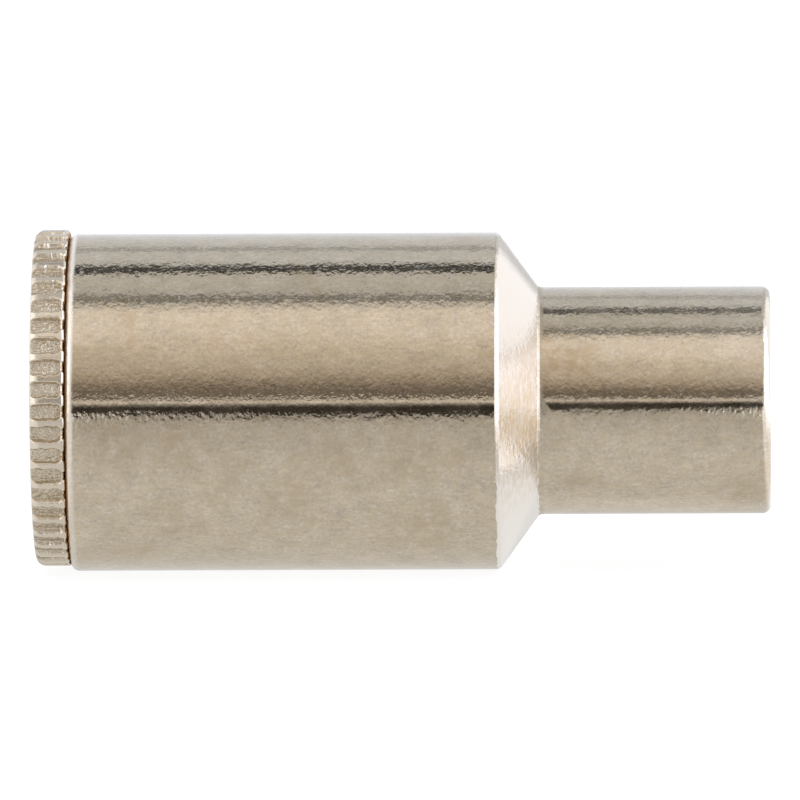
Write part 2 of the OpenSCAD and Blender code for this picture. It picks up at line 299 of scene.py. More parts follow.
nutShell = makeNut(nutSet)
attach(nutShell, "nut")
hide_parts("clamp_nut")
print("nut made:", len(nutShell.data.polygons), "faces")


# Makes a node, sets its plain settings and sockets, and links the rest; i0, i1, i2 are sockets by number
def addNode(tree, kind, settings=None, **sockets):
    node = tree.nodes.new(kind)
    for key, value in (settings or {}).items():
        setattr(node, key, value)
    for key, value in sockets.items():
        number = key[1:]
        socket = node.inputs[int(number) if number.isdigit() else key.replace("_", " ")]
        if isinstance(value, bpy.types.NodeSocket):
            tree.links.new(value, socket)
        else:
            socket.default_value = value
    return node


# New material, its empty tree and the place on the piece that its patterns are worked out from
def startMaterial(name):
    material = bpy.data.materials.new(name)
    material.use_nodes = True
    tree = material.node_tree
    tree.nodes.clear()
    place = addNode(tree, "ShaderNodeTexCoord").outputs["Object"]
    return material, tree, place


# Puts the finished shader on the surface
def closeMaterial(tree, shader):
    out = tree.nodes.new("ShaderNodeOutputMaterial")
    tree.links.new(shader.outputs[0], out.inputs["Surface"])


noiseLow, noiseHigh = 0.3, 0.7  # noise seldom leaves this span


# Noise about one half, whose lumps are about a size in millimetres
def noiseAt(tree, place, size, detail=2.0, rough=0.5):
    sockets = {"Vector": place, "Scale": 1 / (size * mm), "Detail": detail, "Roughness": rough}
    return addNode(tree, "ShaderNodeTexNoise", **sockets).outputs["Fac"]


# The same along one length only, which makes rings about the axis
def noiseAlong(tree, length, size):
    sockets = {"W": length, "Scale": 1 / (size * mm), "Detail": 2.0}
    return addNode(tree, "ShaderNodeTexNoise", {"noise_dimensions": "1D"}, **sockets).outputs["Fac"]


# One step of arithmetic; MULTIPLY_ADD is a times b plus c
def mathNode(tree, operation, a, b=0.0, c=0.0):
    return addNode(tree, "ShaderNodeMath", {"operation": operation}, i0=a, i1=b, i2=c).outputs[0]


# Value between low and high carried to outLow and outHigh, smoothly unless told otherwise, and held outside
def spanNode(tree, value, low, high, outLow=0.0, outHigh=1.0, kind="SMOOTHSTEP"):
    sockets = {"i0": value, "i1": low, "i2": high, "i3": outLow, "i4": outHigh}
    return addNode(tree, "ShaderNodeMapRange", {"interpolation_type": kind}, **sockets).outputs[0]


# First colour at share 0, second at share 1
def mixColour(tree, share, a, b):
    return addNode(tree, "ShaderNodeMix", {"data_type": "RGBA"}, i0=share, i6=a, i7=b).outputs[2]


# One step on two vectors; a distance comes out as a plain value
def vectorNode(tree, operation, a, b):
    node = addNode(tree, "ShaderNodeVectorMath", {"operation": operation}, i0=a, i1=b)
    return node.outputs["Value" if operation == "DISTANCE" else "Vector"]


# Share that is 1 between two lengths and falls off over a short way outside them
def bandNode(tree, value, low, high, fall):
    rising = spanNode(tree, value, (low - fall) * mm, low * mm)
    falling = spanNode(tree, value, (high + fall) * mm, high * mm)
    return mathNode(tree, "MULTIPLY", rising, falling)


# Share that is 1 at a point and falls off to 0 at a distance from it
def nearNode(tree, place, centre, radius):
    away = vectorNode(tree, "DISTANCE", place, [part * mm for part in centre])
    return spanNode(tree, away, radius * mm, 0.0)


# Place with the lengths across the plug's axis divided by a factor; over 1 a pattern runs longer round the
# axis, and under 1 it runs longer along it
def roundStretch(tree, place, factor):
    return vectorNode(tree, "MULTIPLY", place, [1, 1 / factor, 1 / factor])


# Nickel plate; sizes in millimetres, heights in metres
nickelSet = {
    "light": (0.727, 0.634, 0.508, 1), "dark": (0.500, 0.433, 0.342, 1), "warm": (0.615, 0.520, 0.365, 1),
    "stain": (0.50, 0.395, 0.265, 1), "rough": 0.085, "roughLess": 0.015, "roughMore": 0.02, "roughSize": 0.9,
    "peelSize": 0.19, "peel": 1.0e-5, "stretch": 1.15, "grainSize": 0.08, "grain": 1.0e-6,
    "swellSize": 1.3, "swell": 4e-6,
    "pitSize": 0.26, "pit": 3e-6, "pitRim": 0.20, "pitFloor": 0.05, "pickFrom": 0.5, "pickTo": 0.56,
    "mottleSize": 0.13, "mottle": 0.48, "dashSize": 0.45, "dashNarrow": 0.36, "dash": 0.28,
    "blotSize": 1.1, "blot": 0.40, "mottleLow": 0.455, "mottleHigh": 0.70,
    "tintSize": 0.3, "tintFrom": 0.38, "tintTo": 0.62, "tint": 0.5,
    "stainSize": 2.2, "stainFrom": 0.55, "stainTo": 0.72, "stainMost": 0.68,
}


# Plated metal: uneven turned skin from noise of three sizes about a zero mean, sparse pits, fine mottling in
# brightness and tint, soft blots and tan stains
def nickelSkin(tree, place, s):
    height = mathNode(tree, "MULTIPLY", noiseAt(tree, place, s["grainSize"]), s["grain"])
    turned = roundStretch(tree, place, s["stretch"])
    height = mathNode(tree, "MULTIPLY_ADD", noiseAt(tree, turned, s["peelSize"], 1.6), s["peel"], height)
    height = mathNode(tree, "MULTIPLY_ADD", noiseAt(tree, place, s["swellSize"], 1.0), s["swell"], height)
    height = mathNode(tree, "SUBTRACT", height, (s["grain"] + s["peel"] + s["swell"]) / 2)
    cells = addNode(tree, "ShaderNodeTexVoronoi", Vector=place, Scale=1 / (s["pitSize"] * mm))
    pick = addNode(tree, "ShaderNodeSeparateColor", Color=cells.outputs["Color"]).outputs[0]
    inPit = spanNode(tree, cells.outputs["Distance"], s["pitRim"], s["pitFloor"])
    pit = mathNode(tree, "MULTIPLY", inPit, spanNode(tree, pick, s["pickFrom"], s["pickTo"]))
    height = mathNode(tree, "MULTIPLY_ADD", pit, -s["pit"], height)
    mottle = mathNode(tree, "MULTIPLY", noiseAt(tree, place, s["mottleSize"], 2.5, 0.6), s["mottle"])
    dashes = noiseAt(tree, roundStretch(tree, place, s["dashNarrow"]), s["dashSize"], 2.0)
    mottle = mathNode(tree, "MULTIPLY_ADD", dashes, s["dash"], mottle)
    mottle = mathNode(tree, "MULTIPLY_ADD", noiseAt(tree, place, s["blotSize"], 4.0, 0.55), s["blot"], mottle)
    pale = spanNode(tree, mottle, s["mottleLow"], s["mottleHigh"], kind="LINEAR")
    colour = mixColour(tree, pale, s["dark"], s["light"])
    tint = noiseAt(tree, place, s["tintSize"], 3.0, 0.6)
    tint = spanNode(tree, tint, s["tintFrom"], s["tintTo"], 0.0, s["tint"])
    colour = mixColour(tree, tint, colour, s["warm"])
    stain = noiseAt(tree, place, s["stainSize"], 6.0, 0.66)
    stain = spanNode(tree, stain, s["stainFrom"], s["stainTo"], 0.0, s["stainMost"])
    colour = mixColour(tree, stain, colour, s["stain"])
    least, most = s["rough"] - s["roughLess"], s["rough"] + s["roughMore"]
    rough = spanNode(tree, noiseAt(tree, place, s["roughSize"], 3.0), noiseLow, noiseHigh, least, most)
    return colour, rough, height


# Surface with the height as bump; where edges is given, corners look eased over that varying length
def closeSurface(tree, colour, rough, height, edges=None, metal=1.0):
    bump = addNode(tree, "ShaderNodeBump", Height=height, Distance=1.0, Strength=1.0)
    if edges is not None:
        eased = addNode(tree, "ShaderNodeBevel", {"samples": 6}, Radius=edges)
        tree.links.new(eased.outputs["Normal"], bump.inputs["Normal"])
    surface = {"Base_Color": colour, "Metallic": metal, "Roughness": rough, "Normal": bump.outputs["Normal"]}
    closeMaterial(tree, addNode(tree, "ShaderNodeBsdfPrincipled", **surface))


# The plated or bright skin with nothing added
def plainFinish(name, s):
    material, tree, place = startMaterial(name)
    closeSurface(tree, *nickelSkin(tree, place, s))
    return material


# Body and its cone; lengths along the plug, heights and sizes in millimetres, relief in metres
coneSet = {
    "from": -1.80, "to": -0.11, "fall": 0.03, "share": 0.95, "rough": 0.06, "light": (0.82, 0.755, 0.68, 1),
    # under and over: the cone's lower part painted much paler for light from the table, and its upper part
    # painted paler, both painted highlight
    "under": (1.0, 0.95, 0.89, 1), "underFrom": -1.6, "underTo": -3.2,
    "over": (0.87, 0.795, 0.71, 1), "overFrom": 0.8, "overTo": 2.4,
    "tan": (0.745, 0.60, 0.435, 1), "tanAt": (-0.85, -5.6, -0.3), "tanSize": 4.9,
    "streakSize": 0.09, "streak": 5.0, "streakFrom": 0.34, "streakTo": 0.62,
    "mark": 9e-7, "markSize": 0.08, "grainSize": 0.13, "grain": 4e-6,
}
bodySet = {
    "calmTilt": math.tan(math.radians(5.1)), "calmHalf": 0.08, "calmFall": 0.30,
    "calm": 0.15, "calmBelow": 0.62,
    "upper": 7e-6, "upperSize": 0.20, "upperStretch": 2.2, "upperFrom": 2.0, "upperTo": 3.6,
    "grit": 5e-6, "gritSize": 0.10, "gritLow": 0.28, "gritHigh": 0.85, "gritFall": 0.25,
    "gritFrom": -5.0, "gritTo": -13.0, "ragged": 0.05, "raggedSize": 0.5,
    "sleeveRun": 0.4, "sleeveLift": 1.1, "sleeveRough": 0.015, "topRough": 0.05, "topFrom": 3.2, "topTo": 3.6,
    "rootRough": 0.22, "rootFrom": -0.02, "rootTo": 0.05, "rootFall": 0.16,
    "lineGap": 0.16, "lineSlope": 0.6, "lineRagged": 2.0, "lineInner": 0.3, "lineOuter": 0.5,
    # The pale colour on the next line is a painted highlight for the rear edge and the lip, and paints the
    # sleeve's upper half paler
    "highlightPaint": (0.95, 0.90, 0.82, 1), "lipFrom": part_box("body")[1].x / mm - 0.26,
    "lipRun": 0.08, "lipHighlight": 0.60, "lipLow": -1.5, "lipHigh": 0.5,
    "fade": 0.12, "fadeFrom": 5.5, "fadeHigh": 1.0,
    "rearRun": 0.31, "rearFall": 0.18, "rearRough": 0.22, "rearDull": 0.4,
    "rearLow": 0.5, "rearHigh": 3.0, "rearLeast": 0.35,
    "seam": (0.33, 0.17, 0.055, 1), "seamFrom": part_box("body")[0].x / mm + 0.10, "seamRun": 0.04,
    "seamRagged": 0.6, "seamDull": 0.8,
    "edgeLow": 0.015, "edgeHigh": 0.07, "edgeSize": 0.25, "edgeFrom": 0.35, "edgeTo": 0.65,
    "stainSize": 0.7, "stainFrom": 0.36, "stainTo": 0.62,
    # Spots darkened towards the stain colour: those on the sleeve are tan patches; those on the body's front
    # below its calm line are partly tan stains and partly painted shade and painted reflection
    "stainAndShadeAt": (  # centre, radius and strength
        ((0.9, -4.0, 2.4), 2.3, 1.0), ((1.6, -3.7, -3.0), 1.4, 0.6), ((8.2, -3.2, -3.5), 1.6, 0.6),
        ((-10.4, -6.2, -3.3), 1.6, 0.6), ((-15.3, -5.5, -4.4), 2.0, 0.5), ((-13.5, -6.6, -2.6), 2.0, 0.5),
        ((-8.1, -6.6, -2.4), 1.8, 0.5), ((-5.4, -6.8, -1.9), 1.8, 0.55), ((-4.6, -5.6, -4.2), 1.4, 0.65),
        ((-5.6, -4.7, -5.2), 2.8, 0.45), ((-8.2, -6.9, -1.5), 2.0, 0.5), ((-17.6, -6.9, -0.9), 2.2, 0.6),
        ((-14.8, -6.9, -0.9), 1.9, 0.5), ((1.2, -4.3, 1.7), 1.6, 0.6),
    ),
}


# Places on the body that its layers share: lengths along and up, height over the calm line along its front,
# distance from that line, the sleeve's share, and a small ragged length for edges
def bodyPlaces(tree, place, body):
    along, aside, up = addNode(tree, "ShaderNodeSeparateXYZ", Vector=place).outputs
    overLine = mathNode(tree, "MULTIPLY_ADD", aside, body["calmTilt"], up)
    underLine = mathNode(tree, "MULTIPLY", overLine, -body["calmBelow"])
    lumps = noiseAt(tree, place, body["raggedSize"], 4.0)
    reach = body["ragged"] * mm
    return {
        "place": place, "along": along, "up": up, "overLine": overLine,
        "fromLine": mathNode(tree, "MAXIMUM", overLine, underLine),
        "onSleeve": spanNode(tree, along, 0.0, body["sleeveRun"] * mm),
        "ragged": spanNode(tree, lumps, noiseLow, noiseHigh, -reach, reach, "LINEAR"),
    }


# Relief of the body: the skin's, calmed along the line and lifted on the sleeve, with ridges round its upper
# side and grit over the line that grows to the left
def bodyRelief(tree, at, height, body):
    stir = spanNode(tree, at["fromLine"], body["calmHalf"] * mm, body["calmFall"] * mm, body["calm"], 1.0)
    lift = spanNode(tree, at["onSleeve"], 0.0, 1.0, 1.0, body["sleeveLift"], "LINEAR")
    height = mathNode(tree, "MULTIPLY", height, mathNode(tree, "MULTIPLY", stir, lift))
    upper = spanNode(tree, at["up"], body["upperFrom"] * mm, body["upperTo"] * mm, 0.0, body["upper"])
    ridges = noiseAt(tree, roundStretch(tree, at["place"], body["upperStretch"]), body["upperSize"], 1.6)
    height = mathNode(tree, "MULTIPLY_ADD", mathNode(tree, "SUBTRACT", ridges, 0.5), upper, height)
    gritty = bandNode(tree, at["overLine"], body["gritLow"], body["gritHigh"], body["gritFall"])
    most, least = body["grit"], 0.5 * body["grit"]
    toLeft = spanNode(tree, at["along"], body["gritFrom"] * mm, body["gritTo"] * mm, least, most)
    grit = mathNode(tree, "SUBTRACT", noiseAt(tree, at["place"], body["gritSize"]), 0.5)
    return mathNode(tree, "MULTIPLY_ADD", mathNode(tree, "MULTIPLY", grit, gritty), toLeft, height)


# Dull places of the body: the corner at the sleeve's root, a slanted ragged wedge where the line meets it,
# the sleeve a little and its top more
def bodyDullness(tree, at, rough, body):
    atRoot = bandNode(tree, at["along"], body["rootFrom"], body["rootTo"], body["rootFall"])
    pastRoot = mathNode(tree, "MULTIPLY_ADD", at["overLine"], body["lineSlope"], at["along"])
    pastRoot = mathNode(tree, "MULTIPLY_ADD", at["ragged"], body["lineRagged"], pastRoot)
    lineEnd = bandNode(tree, pastRoot, 0.0, body["lineGap"], body["rootFall"])
    nearLine = spanNode(tree, at["fromLine"], body["lineOuter"] * mm, body["lineInner"] * mm)
    atRoot = mathNode(tree, "MAXIMUM", atRoot, mathNode(tree, "MULTIPLY", lineEnd, nearLine))
    rough = mathNode(tree, "MULTIPLY_ADD", atRoot, body["rootRough"], rough)
    rough = mathNode(tree, "MULTIPLY_ADD", at["onSleeve"], body["sleeveRough"], rough)
    onTop = spanNode(tree, at["up"], body["topFrom"] * mm, body["topTo"] * mm)
    onTop = mathNode(tree, "MULTIPLY", at["onSleeve"], onTop)
    return mathNode(tree, "MULTIPLY_ADD", onTop, body["topRough"], rough)


# Wear and painted light of the body: broken tan stains, with placed spots that are partly painted shade and
# painted reflection, a painted highlight on the rear edge and the lip, the sleeve's upper half painted paler
# towards its lip, and brown tarnish at the cap's seam; tarnish and the rear edge are less metallic
def bodyWearAndPaintedLight(tree, at, colour, rough, stain, body):
    along, up = at["along"], at["up"]
    broken = noiseAt(tree, at["place"], body["stainSize"], 5.0, 0.65)
    broken = spanNode(tree, broken, body["stainFrom"], body["stainTo"])
    # placed spots, partly tan stains and partly painted shade and painted reflection
    for centre, radius, strength in body["stainAndShadeAt"]:
        share = mathNode(tree, "MULTIPLY", nearNode(tree, at["place"], centre, radius), broken)
        colour = mixColour(tree, mathNode(tree, "MULTIPLY", share, strength), colour, stain)
    seamStart, lipStart = body["seamFrom"] * mm, body["lipFrom"] * mm
    rearEnd = seamStart + body["rearRun"] * mm
    # painted highlight on the rear edge, stronger towards its top
    onRear = spanNode(tree, along, rearEnd, rearEnd - body["rearFall"] * mm)
    higher = spanNode(tree, up, body["rearLow"] * mm, body["rearHigh"] * mm, body["rearLeast"], 1.0)
    onRear = mathNode(tree, "MULTIPLY", onRear, higher)
    # painted highlight on the lip, stronger towards its top
    onLip = spanNode(tree, along, lipStart, lipStart + body["lipRun"] * mm, 0.0, body["lipHighlight"])
    onLip = mathNode(tree, "MULTIPLY", onLip, spanNode(tree, up, body["lipLow"] * mm, body["lipHigh"] * mm))
    # the sleeve's upper half painted paler towards its lip
    paler = spanNode(tree, along, body["fadeFrom"] * mm, lipStart, 0.0, body["fade"])
    paler = mathNode(tree, "MULTIPLY", paler, spanNode(tree, up, 0.0, body["fadeHigh"] * mm))
    # the three painted highlights together, mixed towards the pale colour
    paintedHighlight = mathNode(tree, "MAXIMUM", mathNode(tree, "MAXIMUM", onRear, onLip), paler)
    colour = mixColour(tree, paintedHighlight, colour, body["highlightPaint"])
    rough = mathNode(tree, "MULTIPLY_ADD", onRear, body["rearRough"], rough)
    pastSeam = mathNode(tree, "MULTIPLY_ADD", at["ragged"], body["seamRagged"], along)
    inSeam = spanNode(tree, pastSeam, seamStart, seamStart - body["seamRun"] * mm)
    colour = mixColour(tree, inSeam, colour, body["seam"])
    seamDull = mathNode(tree, "MULTIPLY", inSeam, body["seamDull"])
    rearDull = mathNode(tree, "MULTIPLY", onRear, body["rearDull"])
    metal = mathNode(tree, "SUBTRACT", 1.0, mathNode(tree, "MAXIMUM", seamDull, rearDull))
    return colour, rough, metal


# Cone: paler and satin, its turning marks as rings about the axis, with tan streaks on its front; its lower
# part is painted much paler for the light from the table below, and its upper part painted paler, both as
# painted highlight
def coneTurningAndPaintedLight(tree, at, colour, rough, height, cone):
    place, along, up = at["place"], at["along"], at["up"]
    pastEdge = mathNode(tree, "ADD", along, at["ragged"])
    onCone = bandNode(tree, pastEdge, cone["from"], cone["to"], cone["fall"])
    streaks = noiseAt(tree, roundStretch(tree, place, cone["streak"]), cone["streakSize"], 3.0, 0.6)
    streaks = spanNode(tree, streaks, cone["streakFrom"], cone["streakTo"])
    tan = mathNode(tree, "MULTIPLY", streaks, nearNode(tree, place, cone["tanAt"], cone["tanSize"]))
    # lower part painted paler for light from below, upper part painted paler: painted highlight
    lower = spanNode(tree, up, cone["underFrom"] * mm, cone["underTo"] * mm)
    higher = spanNode(tree, up, cone["overFrom"] * mm, cone["overTo"] * mm)
    turned = mixColour(tree, lower, cone["light"], cone["under"])
    turned = mixColour(tree, higher, turned, cone["over"])
    turned = mixColour(tree, tan, turned, cone["tan"])
    colour = mixColour(tree, mathNode(tree, "MULTIPLY", onCone, cone["share"]), colour, turned)
    rough = mathNode(tree, "MULTIPLY_ADD", onCone, cone["rough"], rough)
    marks = mathNode(tree, "MULTIPLY", noiseAlong(tree, along, cone["markSize"]), cone["mark"])
    marks = mathNode(tree, "MULTIPLY_ADD", noiseAt(tree, place, cone["grainSize"]), cone["grain"], marks)
    return colour, rough, mathNode(tree, "MULTIPLY_ADD", marks, onCone, height)


# Body: the nickel skin with its own relief, dull places, wear and painted light, the turned cone with its
# painted highlight, and corners eased unevenly
def bodyFinish(name, s, cone, body):
    material, tree, place = startMaterial(name)
    colour, rough, height = nickelSkin(tree, place, s)
    at = bodyPlaces(tree, place, body)
    height = bodyRelief(tree, at, height, body)
    rough = bodyDullness(tree, at, rough, body)
    colour, rough, metal = bodyWearAndPaintedLight(tree, at, colour, rough, s["stain"], body)
    colour, rough, height = coneTurningAndPaintedLight(tree, at, colour, rough, height, cone)
    edges = noiseAt(tree, place, body["edgeSize"], 2.0)
    least, most = body["edgeLow"] * mm, body["edgeHigh"] * mm
    edges = spanNode(tree, edges, body["edgeFrom"], body["edgeTo"], least, most)
    closeSurface(tree, colour, rough, height, edges, metal)
    return material


# Knurl of the cap; rim and seam lengths count inwards from its radius
knurlSet = {
    "radius": capHeadSet["radius"], "lift": capHeadSet["lift"], "innerX": capHeadSet["innerX"],
    "rib": (0.785, 0.70, 0.58, 1), "ribShare": 0.8, "ribRough": 0.18, "rimFrom": 0.50, "rimTo": 0.38,
    "floor": (0.72, 0.63, 0.50, 1), "floorDark": (0.48, 0.40, 0.29, 1),
    "floorShare": 0.85, "floorRough": 0.16, "speckSize": 0.07, "speckFrom": 0.36, "speckTo": 0.64,
    "toothSize": 0.10, "tooth": 1.4e-5, "ringSize": 0.09, "ring": 3e-6,
    "seam": bodySet["seam"], "seamRun": 0.08, "seamFall": 0.02, "seamOuter": 0.06, "seamInner": 0.11,
    "seamDull": 0.8,
}


# Cap: paler satin ribs, pockets left darker and rough by the knurling, turned rings on its flat face, and
# tarnish on the side that faces the body
def knurlFinish(name, s, knurl):
    material, tree, place = startMaterial(name)
    colour, rough, height = nickelSkin(tree, place, s)
    along, aside, up = addNode(tree, "ShaderNodeSeparateXYZ", Vector=place).outputs
    up = mathNode(tree, "SUBTRACT", up, knurl["lift"] * mm)
    out = mathNode(tree, "MULTIPLY_ADD", up, up, mathNode(tree, "MULTIPLY", aside, aside))
    out = mathNode(tree, "SQRT", out)
    radius = knurl["radius"]
    inPocket = addNode(tree, "ShaderNodeAttribute", {"attribute_name": "pocket"}).outputs["Fac"]
    onRim = spanNode(tree, out, (radius - knurl["rimFrom"]) * mm, (radius - knurl["rimTo"]) * mm)
    colour = mixColour(tree, mathNode(tree, "MULTIPLY", onRim, knurl["ribShare"]), colour, knurl["rib"])
    specks = noiseAt(tree, place, knurl["speckSize"], 2.0, 0.6)
    specks = spanNode(tree, specks, knurl["speckFrom"], knurl["speckTo"])
    floor = mixColour(tree, specks, knurl["floorDark"], knurl["floor"])
    colour = mixColour(tree, mathNode(tree, "MULTIPLY", inPocket, knurl["floorShare"]), colour, floor)
    rough = mathNode(tree, "MULTIPLY_ADD", onRim, knurl["ribRough"], rough)
    rough = mathNode(tree, "MULTIPLY_ADD", inPocket, knurl["floorRough"], rough)
    tooth = mathNode(tree, "MULTIPLY", noiseAt(tree, place, knurl["toothSize"]), knurl["tooth"])
    height = mathNode(tree, "MULTIPLY_ADD", tooth, inPocket, height)
    rings = mathNode(tree, "MULTIPLY", noiseAlong(tree, out, knurl["ringSize"]), knurl["ring"])
    onFace = mathNode(tree, "SUBTRACT", 1.0, onRim)
    height = mathNode(tree, "MULTIPLY_ADD", rings, onFace, height)
    seamStart = (knurl["innerX"] - knurl["seamRun"]) * mm
    nearSeam = spanNode(tree, along, seamStart, seamStart + knurl["seamFall"] * mm)
    below = spanNode(tree, out, (radius - knurl["seamOuter"]) * mm, (radius - knurl["seamInner"]) * mm)
    inSeam = mathNode(tree, "MULTIPLY", nearSeam, below)
    colour = mixColour(tree, inSeam, colour, knurl["seam"])
    metal = mathNode(tree, "MULTIPLY_ADD", inSeam, -knurl["seamDull"], 1.0)
    closeSurface(tree, colour, rough, height, metal=metal)
    return material


fittingSet = dict(nickelSet, peel=3.5e-6, rough=0.1)
# Thread skirt: dark brown, partly thread grease and partly painted shade for the seam gap where it shows
threadSet = dict(
    nickelSet, light=(0.36, 0.285, 0.19, 1), dark=(0.31, 0.245, 0.165, 1), warm=(0.33, 0.25, 0.15, 1),
    stain=(0.16, 0.11, 0.06, 1), rough=0.3,
)
steelSet = dict(
    nickelSet, light=(0.63, 0.63, 0.62, 1), dark=(0.56, 0.56, 0.55, 1), warm=(0.60, 0.595, 0.575, 1),
    stain=(0.52, 0.51, 0.49, 1), rough=0.2, peel=2.5e-6,
)
finishes = {
    "body": bodyFinish("nickelBody", nickelSet, coneSet, bodySet),
    "cap": knurlFinish("nickelKnurl", nickelSet, knurlSet),
    "thread": plainFinish("nickelThread", threadSet),
    "fitting": plainFinish("nickelFitting", fittingSet),
    "steel": plainFinish("brightSteel", steelSet),
}

# Insulator, liner and gasket
softSet = {
    "insulator": {
        "base": (0.86, 0.845, 0.775, 1), "dark": (0.76, 0.735, 0.645, 1),
        "rough": 0.42, "grain": 0.35, "lift": 8e-6,
    },
    "cap_liner": {
        "base": (0.36, 0.20, 0.11, 1), "dark": (0.24, 0.125, 0.065, 1),
        "rough": 0.72, "grain": 0.12, "lift": 1.6e-5,
    },
    "cable_gasket": {
        "base": (0.030, 0.030, 0.031, 1), "dark": (0.055, 0.054, 0.052, 1),
        "rough": 0.6, "grain": 0.16, "lift": 1.2e-5,
    },
}


# Plastic, fibre or rubber: mottled colour from noise and a fine moulded skin
def softFinish(name, s):
    material, tree, place = startMaterial(name)
    mottle = spanNode(tree, noiseAt(tree, place, s["grain"] * 4, 4.0, 0.6), 0.35, 0.7)
    colour = mixColour(tree, mottle, s["base"], s["dark"])
    skin = noiseAt(tree, place, s["grain"], 3.0)
    rough = spanNode(tree, skin, noiseLow, noiseHigh, s["rough"] - 0.05, s["rough"] + 0.08)
    height = mathNode(tree, "MULTIPLY", skin, s["lift"])
    closeSurface(tree, colour, rough, height, metal=0.0)
    return material


wearing = {
    "body": finishes["body"], "cable_socket": finishes["fitting"], "braid_clamp": finishes["fitting"],
    "centre_pin": finishes["fitting"], "contact_screw": finishes["steel"], "slip_washer": finishes["steel"],
    "screw_cap": finishes["cap"], "clamp_nut": finishes["fitting"],
}
for nodeName, s in softSet.items():
    wearing[nodeName] = softFinish("finish_" + nodeName, s)
for nodeName, material in wearing.items():
    for materialSlot in nodes[nodeName].material_slots:
        materialSlot.material = material
capHead.data.materials.append(finishes["cap"])
capSkirt.data.materials.append(finishes["thread"])
nutShell.data.materials.append(finishes["fitting"])
print("finishes made:", len(bpy.data.materials))

# Light tent round the object: each panel's angle up from the front about the plug's axis, its brightness at
# both ends, and its tint; between panels the light runs from one to the next, and to the left and right it
# gives way to a plain middle level and then to the bright side walls
tentSet = {
    "tints": {
        "plain": (1, 1, 1), "cool": (1, 1.05, 1.14), "pale": (1, 1.02, 1.05), "warm": (1, 0.95, 0.92),
        "sand": (1, 0.92, 0.83), "tan": (1, 0.87, 0.75),
    },
    "panels": (
        (-180, -175, 1.0, 0.9, "cool"),
        (-172, -8, 0.75, 0.60, "plain"),  # below the table, hidden by it
        (-4.6, 3.65, 0.038, 0.038, "tan"),  # gap at the table's front edge
        (5.7, 6.6, 1.03, 1.03, "warm"),  # card round the lens
        (8.3, 12.3, 0.20, 0.19, "tan"),
        (17, 23, 0.32, 0.53, "tan"),  # foot of the front softbox
        (30, 42, 0.68, 0.82, "sand"),
        (54, 70.5, 1.0, 1.03, "warm"),
        (75.8, 76.2, 0.72, 0.70, "plain"),
        (80.0, 81.6, 0.24, 0.24, "plain"),  # gap under the roof panel
        (86.5, 104.0, 0.645, 0.72, "pale"),
        (106.6, 112.0, 0.065, 0.065, "cool"),  # gap behind the roof panel
        (116.2, 131, 0.75, 0.74, "cool"),
        (134.8, 136.4, 0.44, 0.44, "cool"),
        (140, 160, 0.74, 0.82, "cool"),
        (172, 180, 0.9, 1.0, "cool"),
    ),
    "backFrom": -0.1, "backTo": 0.25,
    "middle": (0.80, 0.78, 0.75, 1), "middleFrom": 0.18, "middleTo": 0.36,
    "far": (0.66, 0.67, 0.68, 1), "farFrom": 0.06, "farTo": 0.16,
    "right": (1.75, 1.90, 2.30, 1), "rightBack": (1.12, 1.14, 1.20, 1), "rightFrom": 0.36, "rightTo": 0.42,
    "left": (1.54, 1.54, 1.57, 1), "leftFrom": -0.46, "leftTo": -0.94,
}


# World light: panels by the angle whose tangent is up over front, then the levels to the sides by how far a
# direction points left, right or back; the camera itself sees white
def makeTent(s):
    world = bpy.data.worlds.new("lightTent")
    bpy.context.scene.world = world
    world.use_nodes = True
    tree = world.node_tree
    tree.nodes.clear()
    direction = addNode(tree, "ShaderNodeTexCoord").outputs["Generated"]
    toSide, toRear, up = addNode(tree, "ShaderNodeSeparateXYZ", Vector=direction).outputs
    upAngle = mathNode(tree, "ARCTAN2", up, mathNode(tree, "MULTIPLY", toRear, -1.0))
    ramp = addNode(tree, "ShaderNodeValToRGB", Fac=spanNode(tree, upAngle, -math.pi, math.pi, kind="LINEAR"))
    marks = []
    for startAngle, endAngle, startLevel, endLevel, tint in s["panels"]:
        marks += [(startAngle, startLevel, tint), (endAngle, endLevel, tint)]
    while len(ramp.color_ramp.elements) < len(marks):
        ramp.color_ramp.elements.new(0.5)
    for stop, (angle, level, tint) in zip(ramp.color_ramp.elements, marks):
        stop.position = (angle + 180) / 360
        stop.color = [level * part for part in s["tints"][tint]] + [1]
    aside = mathNode(tree, "ABSOLUTE", toSide)
    toBack = spanNode(tree, toRear, s["backFrom"], s["backTo"])
    toFront = mathNode(tree, "SUBTRACT", 1.0, toBack)
    between = mathNode(tree, "MULTIPLY", spanNode(tree, aside, s["middleFrom"], s["middleTo"]), toFront)
    tent = mixColour(tree, between, ramp.outputs["Color"], s["middle"])
    behind = mathNode(tree, "MULTIPLY", spanNode(tree, toSide, s["farFrom"], s["farTo"]), toBack)
    tent = mixColour(tree, behind, tent, s["far"])
    right = mixColour(tree, toBack, s["right"], s["rightBack"])
    tent = mixColour(tree, spanNode(tree, toSide, s["rightFrom"], s["rightTo"]), tent, right)
    tent = mixColour(tree, spanNode(tree, toSide, s["leftFrom"], s["leftTo"]), tent, s["left"])
    inside = addNode(tree, "ShaderNodeBackground", Color=tent, Strength=1.0)
    outside = addNode(tree, "ShaderNodeBackground", Color=(1, 1, 1, 1), Strength=1.0)
    seen = addNode(tree, "ShaderNodeLightPath").outputs["Is Camera Ray"]
    both = addNode(tree, "ShaderNodeMixShader", i0=seen, i1=inside.outputs[0], i2=outside.outputs[0])
    out = tree.nodes.new("ShaderNodeOutputWorld")
    tree.links.new(both.outputs[0], out.inputs["Surface"])


